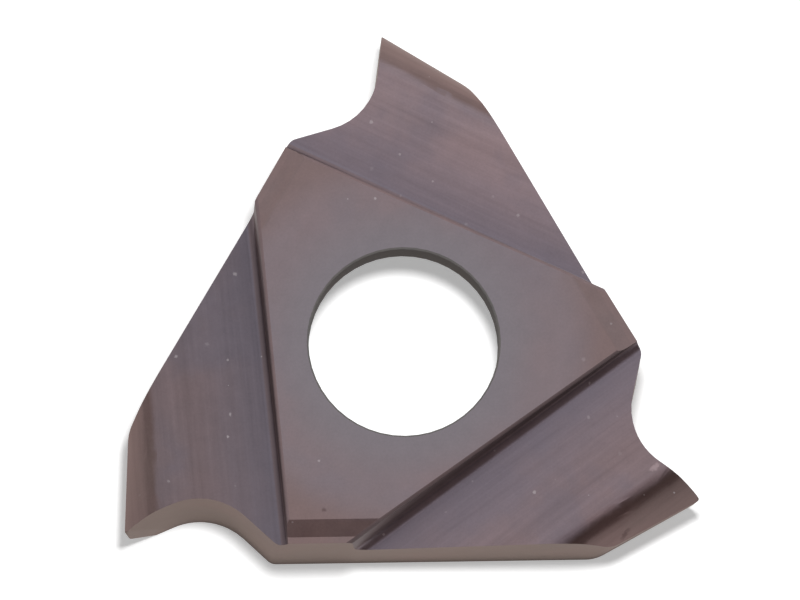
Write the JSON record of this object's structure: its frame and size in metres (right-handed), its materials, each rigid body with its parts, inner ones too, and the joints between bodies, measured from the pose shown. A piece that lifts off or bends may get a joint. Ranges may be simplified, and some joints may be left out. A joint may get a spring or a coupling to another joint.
{
  "type": "grooving insert",
  "caption": "Triangular carbide grooving insert with ground wings, hooked chip notches, raised land and a central screw bore.",
  "frame": {"origin": "bore axis at the flat back face, on which the insert lies", "axes": "+Z along the bore axis, towards the raised land; -Y faces one of the three sides"},
  "size_m": [0.0137, 0.0127, 0.0032],
  "materials": {
    "coated_carbide": "satin purple-brown hard coating over ground carbide"
  },
  "bodies": {
    "root": {"grooving_insert": "coated_carbide"}
  },
  "joints": []
}
